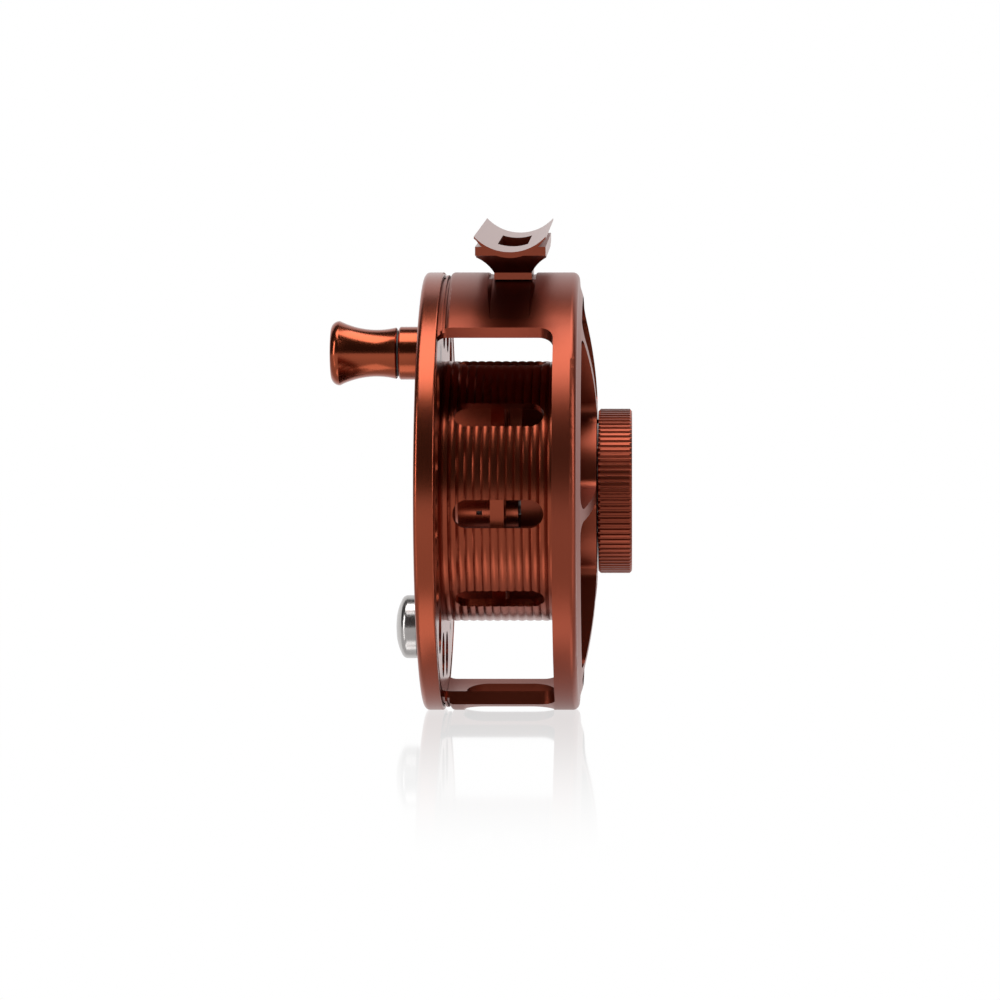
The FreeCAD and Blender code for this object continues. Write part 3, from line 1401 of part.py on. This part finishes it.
def make_pawl():
    """The click pawl, the pin it swings on and its wire spring."""
    pivot_y, pivot_z = (value.number for value in pawl_pivot())
    base_angle = math.radians(size["pawl_angle"].number)
    tooth_angle = base_angle + pawl_tooth_angle()
    left = pawl_left().number
    thickness = size["pawl_thickness"].number
    tip_radius = size["gear_tip"].number + size["pawl_tooth"].number
    tooth = [(tip_radius, 0.0), (size["gear_tip"].number - 0.9, 0.045), (size["gear_tip"].number - 2.6, 0.05)]
    outline = []
    for radius, spread in tooth:
        outline.append(vector(0, radius * math.cos(tooth_angle + spread), radius * math.sin(tooth_angle + spread)))
    away = vector(0, pivot_y - 0.9 * math.cos(base_angle), pivot_z - 0.9 * math.sin(base_angle))
    near = vector(0, pivot_y + 0.9 * math.cos(base_angle), pivot_z + 0.9 * math.sin(base_angle))
    outline += [away, near]
    inner = size["gear_tip"].number - 0.9
    outline.append(vector(0, inner * math.cos(tooth_angle - 0.045), inner * math.sin(tooth_angle - 0.045)))
    arm = Part.Face(Part.makePolygon(outline + [outline[0]])).extrude(FreeCAD.Vector(thickness, 0, 0))
    arm.translate(vector(left, 0))
    boss = shape_tube(left, left + thickness, 0.0, size["pawl_boss_radius"].number, pivot_y, pivot_z)
    bore = size["pawl_pin_radius"].number + size["running_gap"].number
    hole = shape_tube(left - 1.0, left + thickness + 1.0, 0.0, bore, pivot_y, pivot_z)
    group("click_pawl", [arm.fuse(boss).cut(hole).removeSplitter()])
    pin_right = pawl_pin_right()
    head = size["pawl_pin_radius"] * 1.7
    turned("pawl_pin", [
        (pawl_left() - 0.6, 0.0), (pin_right, 0.0), (pin_right, size["pawl_pin_radius"]),
        (pawl_left() - 0.1, size["pawl_pin_radius"]), (pawl_left() - 0.1, head), (pawl_left() - 0.6, head),
    ], y=pawl_pivot()[0], z=pawl_pivot()[1] - size["saddle_height"])


# ---------------------------------------------------------------- latch


def latch_left():
    """The catch lies against the hub's left end, a gap away."""
    return size["hub_left"] - size["piece_gap"] * 2.0 - size["latch_thickness"]


def make_latch():
    """The sliding catch that holds the spool on the spindle, with its thumb tab."""
    left = latch_left()
    right = left + size["latch_thickness"]
    half = size["latch_width"] / 2.0
    tab = size["latch_tab_width"] / 2.0
    body = new_body("spool_latch")
    pad_along_x(body, "latch_plate", left, right, [
        (-size["latch_far_end"], -half), (size["latch_near_end"] - 3.0, -half),
        (size["latch_near_end"] - 1.5, -tab), (size["latch_near_end"], -tab),
        (size["latch_near_end"], tab), (size["latch_near_end"] - 1.5, tab),
        (size["latch_near_end"] - 3.0, half), (-size["latch_far_end"], half),
    ])
    pad_along_x(body, "latch_tab", left - size["latch_tab_rise"], left, [
        (size["latch_near_end"] - 0.9, -tab), (size["latch_near_end"], -tab),
        (size["latch_near_end"], tab), (size["latch_near_end"] - 0.9, tab),
    ])
    cut_along_x(body, "latch_hole", left - 0.5, right + 0.5,
                circles=[(0.0, 0.0, size["latch_groove_radius"] + size["running_gap"])])
    cut_along_x(body, "release_hole", left - 0.5, right + 0.5,
                circles=[(size["latch_travel"], 0.0, size["spindle_radius"] + size["running_gap"] * 2.0)])
    set_place(body)
    name_node(body, "spool_latch")


def pad_along_x(body, name, x_from, x_to, points):
    """Adds a plate with an outline in y and z, from x_from to x_to."""
    before = body.Shape.Volume if body.Tip else 0.0
    sketch = new_sketch(body, name + "_outline", "YZ_Plane")
    lift_sketch(sketch, as_size(x_from))
    add_loop(sketch, points)
    doc.recompute()
    pad = body.newObject("PartDesign::Pad", name)
    pad.Profile = sketch
    bind(pad, "Length", as_size(x_to) - x_from)
    settle(body, before, 1)


def make_latch_cover():
    """The cap that guides the catch, the screws that hold it and the catch's coil spring."""
    right = size["hub_left"]
    left = right - size["latch_cover_thickness"]
    channel_left = latch_left() - size["piece_gap"] * 2.0
    half = size["latch_width"] / 2.0 + size["running_gap"]
    end = size["latch_channel_end"]
    body = new_body("latch_cover")
    turn_solid(body, "latch_cover_turned", [
        (left, size["spindle_radius"] + size["running_gap"] * 2.0),
        (right, size["spindle_radius"] + size["running_gap"] * 2.0), (right, size["hub_radius"]),
        (left + 0.5, size["hub_radius"]), (left, size["hub_radius"] - 0.5),
    ])
    cut_along_x(body, "latch_channel", channel_left, right + 0.5, loops=[[
        (-end, -half), (size["hub_radius"] + 1.0, -half), (size["hub_radius"] + 1.0, half), (-end, half)]])
    tab = size["latch_tab_width"] / 2.0 + size["running_gap"] * 4.0
    notch = size["latch_near_end"] - 0.9 - size["latch_travel"] - size["running_gap"] * 4.0
    cut_along_x(body, "tab_notch", left - 0.5, right + 0.5, loops=[[
        (notch, -tab), (size["hub_radius"] + 1.0, -tab), (size["hub_radius"] + 1.0, tab), (notch, tab)]])
    circle = size["latch_screw_circle"]
    radius = size["latch_screw_radius"]
    sunk = left + size["latch_screw_head"] + size["piece_gap"]
    cut_along_x(body, "screw_holes", left - 0.5, right + 0.5,
                circles=[(0.0, circle, radius), (0.0, -circle, radius)])
    head = size["latch_screw_head_radius"] + size["piece_gap"]
    cut_along_x(body, "screw_heads", left - 0.5, sunk, circles=[(0.0, circle, head), (0.0, -circle, head)])
    set_place(body)
    name_node(body, "latch_cover")
    make_latch_screws(sunk, circle.number)
    make_latch_spring(channel_left.number)


def make_latch_screws(head_right, circle):
    shapes = []
    head_left = (head_right - size["latch_screw_head"]).number
    tip = (size["hub_left"] + size["latch_screw_depth"]).number - 0.2
    for side in (-1, 1):
        head = shape_tube(head_left, head_right.number, 0.0, size["latch_screw_head_radius"].number, 0, circle * side)
        shank = shape_tube(head_left, tip, 0.0, size["latch_screw_radius"].number, 0, circle * side)
        slot = Part.makeBox(0.35, 3.0, 0.5, vector(head_left, -1.5, circle * side - 0.25))
        shapes.append(head.fuse(shank).cut(slot))
    group("latch_screws", shapes)


def make_latch_spring(channel_left):
    """A small coil between the catch's far end and the end of the cover's channel."""
    wire = size["latch_wire"].number
    radius = size["latch_coil_radius"].number - wire
    start = -size["latch_channel_end"].number + wire + 0.02
    finish = -(size["latch_far_end"] + size["latch_travel"]).number - wire - 0.05
    turns = size["latch_coil_turns"].number
    rise = (finish - start) / turns
    coil = coil_shape(rise, finish - start, radius, wire)
    coil.rotate(vector(0, 0, 0), FreeCAD.Vector(1, 0, 0), -90.0)
    coil.translate(vector(channel_left + size["latch_coil_radius"].number + 0.05, start))
    group("latch_spring", [coil])


def coil_shape(rise, length, radius, wire):
    """A round-wire coil that climbs along Z from the origin."""
    helix = Part.makeHelix(rise, length, radius)
    section = Part.Wire(Part.makeCircle(wire, vector(radius, 0), FreeCAD.Vector(0, 1, 0)))
    return Part.Wire(helix).makePipeShell([section], True, True)


def check_and_write():
    """Stops on any failed object or broken shape, then writes one file per sub-part."""
    doc.recompute()
    for thing in doc.Objects:
        for bad in ("Invalid", "Error"):
            if bad in thing.State:
                raise RuntimeError("%s is %s" % (thing.Name, bad))
    os.makedirs("parts", exist_ok=True)
    for thing in NODES:
        shape = thing.Shape
        if shape.isNull() or not shape.isValid() or not shape.Solids:
            raise RuntimeError("%s has no valid solid" % thing.Label)
        shape.exportStep("parts/%s.step" % thing.Label)
        print("%-22s solids %2d volume %9.2f" % (thing.Label, len(shape.Solids), shape.Volume))


make_frame()
make_reel_foot()
make_foot_screws()
make_spool()
make_handle()
make_counterweight()
make_spindle()
make_drag_stack()
make_cup_closure()
make_knob()
make_knob_screw()
make_thrust()
make_detent()
make_click_gear()
make_pawl()
make_latch()
make_latch_cover()
check_and_write()
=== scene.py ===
import json
import math

import bpy
from mathutils import Matrix, Vector

# The reel in metres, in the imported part's own frame: the origin is the middle of the foot's
# saddle, X runs along the spool's axis to the knob, Y along the foot, and Z up.

AXIS_HEIGHT = -0.0525
REEL_RADIUS = 0.046
LEAN = math.radians(6.6)

# The stage's places are across, away from and above the spool's axis, in a frame that leans
# with the camera
CAMERA_PLACE = (0.0254, -0.736, 0.0152)
CAMERA_LENS = 125.7
CAMERA_SHIFT = (-0.1368, -0.0813)
STAGE_HALF_WIDTH = 3.0
FLOOR_NEAR = -2.0
FLOOR_FAR = 3.0
BACKDROP_PLACE = 2.0
BACKDROP_TOP = 3.0
WORLD_STRENGTH = 0.05

# How strongly the floor reflects, and the world Y places its fade runs between
FLOOR_REFLECTION = 0.34
REFLECTION_GONE = -0.26
REFLECTION_FULL = 0.02

# Each softbox's place, width, height and power; all face the reel
SOFTBOXES = {
    "top": ((0.05, -0.15, 0.75), 0.8, 0.5, 6.0),
    "left": ((-0.75, -0.55, 0.25), 0.2, 0.7, 3.0),
    "right": ((0.8, -0.35, 0.3), 0.2, 0.7, 3.0),
}

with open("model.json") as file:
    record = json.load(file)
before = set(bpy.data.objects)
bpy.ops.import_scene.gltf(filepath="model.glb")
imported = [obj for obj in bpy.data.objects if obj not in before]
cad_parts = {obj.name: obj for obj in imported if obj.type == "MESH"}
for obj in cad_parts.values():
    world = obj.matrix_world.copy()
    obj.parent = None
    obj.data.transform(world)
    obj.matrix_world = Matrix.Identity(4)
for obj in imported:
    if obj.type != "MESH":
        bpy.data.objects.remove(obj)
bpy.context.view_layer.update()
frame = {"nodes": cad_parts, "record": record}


# ---------------------------------------------------------------- materials


def new_material(name):
    material = bpy.data.materials.new(name)
    material.use_nodes = True
    nodes = material.node_tree.nodes
    nodes.clear()
    return material, nodes, material.node_tree.links


def metal(name, colour, roughness, grain, coat, coat_roughness):
    """A metal finish. Grain is the depth of a fine blasted texture in metres."""
    material, nodes, links = new_material(name)
    shader = nodes.new("ShaderNodeBsdfPrincipled")
    shader.inputs["Base Color"].default_value = (*colour, 1.0)
    shader.inputs["Metallic"].default_value = 1.0
    shader.inputs["Roughness"].default_value = roughness
    shader.inputs["Coat Weight"].default_value = coat
    shader.inputs["Coat Roughness"].default_value = coat_roughness
    output = nodes.new("ShaderNodeOutputMaterial")
    links.new(shader.outputs["BSDF"], output.inputs["Surface"])
    if grain > 0.0:
        place = nodes.new("ShaderNodeTexCoord")
        noise = nodes.new("ShaderNodeTexNoise")
        noise.inputs["Scale"].default_value = GRAIN_SCALE
        noise.inputs["Detail"].default_value = 2.0
        bump = nodes.new("ShaderNodeBump")
        bump.inputs["Strength"].default_value = 1.0
        bump.inputs["Distance"].default_value = grain
        links.new(place.outputs["Object"], noise.inputs["Vector"])
        links.new(noise.outputs["Fac"], bump.inputs["Height"])
        links.new(bump.outputs["Normal"], shader.inputs["Normal"])
    return material


def plastic(name, colour, roughness):
    material, nodes, links = new_material(name)
    shader = nodes.new("ShaderNodeBsdfPrincipled")
    shader.inputs["Base Color"].default_value = (*colour, 1.0)
    shader.inputs["Roughness"].default_value = roughness
    output = nodes.new("ShaderNodeOutputMaterial")
    links.new(shader.outputs["BSDF"], output.inputs["Surface"])
    return material


GRAIN_SCALE = 9000.0

# Each metal's colour, roughness, grain, coat and coat roughness
METALS = {
    "anodised_orange": ((0.22, 0.042, 0.02), 0.36, 0.000003, 0.15, 0.3),
    "anodised_gloss": ((0.26, 0.05, 0.022), 0.27, 0.0, 0.15, 0.2),
    "anodised_foot": ((0.22, 0.045, 0.022), 0.28, 0.000002, 0.15, 0.25),
    "anodised_handle": ((0.28, 0.055, 0.022), 0.2, 0.0, 0.15, 0.15),
    "polished_steel": ((0.45, 0.43, 0.42), 0.24, 0.0, 0.0, 0.2),
    "steel": ((0.2, 0.17, 0.16), 0.35, 0.0, 0.0, 0.2),
    "bronze": ((0.55, 0.38, 0.18), 0.35, 0.0, 0.0, 0.2),
    "aluminium": ((0.3, 0.29, 0.29), 0.4, 0.0, 0.0, 0.2),
}

# Each plastic's colour and roughness
PLASTICS = {
    "carbon": ((0.03, 0.03, 0.033), 0.5),
    "rubber": ((0.02, 0.02, 0.02), 0.5),
    "acetal": ((0.75, 0.74, 0.72), 0.35),
}

MATERIALS = {name: metal(name, *finish) for name, finish in METALS.items()}
MATERIALS.update({name: plastic(name, *finish) for name, finish in PLASTICS.items()})


def dress_nodes():
    """Gives every CAD node the finish of its slot."""
    slots = {entry["node"]: entry["material_slot"] for entry in frame["record"]["subparts"]}
    for name, node in frame["nodes"].items():
        node.data.materials.clear()
        node.data.materials.append(MATERIALS[slots[name]])
        for polygon in node.data.polygons:
            polygon.material_index = 0


# ---------------------------------------------------------------- stage


def tilted(x, y, z):
    """A place given across, away from and above the spool's axis, in the leaning camera's frame."""
    turn = Matrix.Rotation(-LEAN, 4, "X")
    return Vector((0.0, 0.0, AXIS_HEIGHT)) + turn @ Vector((x, y, z))


def plane(name, corners, material):
    mesh = bpy.data.meshes.new(name)
    mesh.from_pydata([tilted(*corner) for corner in corners], [], [(0, 1, 2, 3)])
    thing = bpy.data.objects.new(name, mesh)
    bpy.context.scene.collection.objects.link(thing)
    mesh.materials.append(material)


def glow(name, strength):
    material, nodes, links = new_material(name)
    light = nodes.new("ShaderNodeEmission")
    light.inputs["Strength"].default_value = strength
    output = nodes.new("ShaderNodeOutputMaterial")
    links.new(light.outputs["Emission"], output.inputs["Surface"])
    return material


def floor_material():
    """A white floor whose reflection fades towards the camera."""
    material, nodes, links = new_material("floor")
    light = nodes.new("ShaderNodeEmission")
    light.inputs["Strength"].default_value = 1.0
    gloss = nodes.new("ShaderNodeBsdfGlossy")
    gloss.inputs["Color"].default_value = (1.0, 1.0, 1.0, 1.0)
    gloss.inputs["Roughness"].default_value = 0.05
    place = nodes.new("ShaderNodeNewGeometry")
    split = nodes.new("ShaderNodeSeparateXYZ")
    fade = nodes.new("ShaderNodeMapRange")
    fade.interpolation_type = "SMOOTHSTEP"
    fade.inputs["From Min"].default_value = REFLECTION_GONE
    fade.inputs["From Max"].default_value = REFLECTION_FULL
    fade.inputs["To Min"].default_value = 0.0
    fade.inputs["To Max"].default_value = FLOOR_REFLECTION
    mix = nodes.new("ShaderNodeMixShader")
    output = nodes.new("ShaderNodeOutputMaterial")
    links.new(place.outputs["Position"], split.inputs["Vector"])
    links.new(split.outputs["Y"], fade.inputs["Value"])
    links.new(fade.outputs["Result"], mix.inputs["Fac"])
    links.new(light.outputs["Emission"], mix.inputs[1])
    links.new(gloss.outputs["BSDF"], mix.inputs[2])
    links.new(mix.outputs["Shader"], output.inputs["Surface"])
    return material


def softbox(name, place, width, height, power):
    light = bpy.data.lights.new(name, "AREA")
    light.shape = "RECTANGLE"
    light.size = width
    light.size_y = height
    light.energy = power
    lamp = bpy.data.objects.new(name, light)
    bpy.context.scene.collection.objects.link(lamp)
    lamp.location = tilted(*place)
    direction = tilted(0.0, 0.0, 0.0) - lamp.location
    lamp.rotation_euler = direction.to_track_quat("-Z", "Y").to_euler()


def set_stage():
    """Floor and backdrop, tangent to the rim's lowest point and leaning with the camera."""
    side = STAGE_HALF_WIDTH
    level = -REEL_RADIUS
    plane("floor", [(-side, FLOOR_NEAR, level), (side, FLOOR_NEAR, level),
                    (side, FLOOR_FAR, level), (-side, FLOOR_FAR, level)], floor_material())
    plane("backdrop", [(-side, BACKDROP_PLACE, level), (side, BACKDROP_PLACE, level),
                       (side, BACKDROP_PLACE, BACKDROP_TOP),
                       (-side, BACKDROP_PLACE, BACKDROP_TOP)], glow("backdrop", 1.0))
    world = bpy.data.worlds.new("studio")
    bpy.context.scene.world = world
    world.use_nodes = True
    background = world.node_tree.nodes["Background"]
    background.inputs["Color"].default_value = (1.0, 1.0, 1.0, 1.0)
    background.inputs["Strength"].default_value = WORLD_STRENGTH
    for name, (place, width, height, power) in SOFTBOXES.items():
        softbox(name, place, width, height, power)


def set_camera():
    camera_data = bpy.data.cameras.new("camera")
    camera = bpy.data.objects.new("camera", camera_data)
    bpy.context.scene.collection.objects.link(camera)
    camera.location = tilted(*CAMERA_PLACE)
    camera.rotation_euler = (math.radians(90.0) - LEAN, 0.0, 0.0)
    camera_data.sensor_width = 36.0
    camera_data.lens = CAMERA_LENS
    camera_data.shift_x, camera_data.shift_y = CAMERA_SHIFT
    camera_data.clip_start = 0.01
    bpy.context.scene.camera = camera


dress_nodes()
set_stage()
set_camera()
bpy.context.scene.view_settings.view_transform = "Standard"
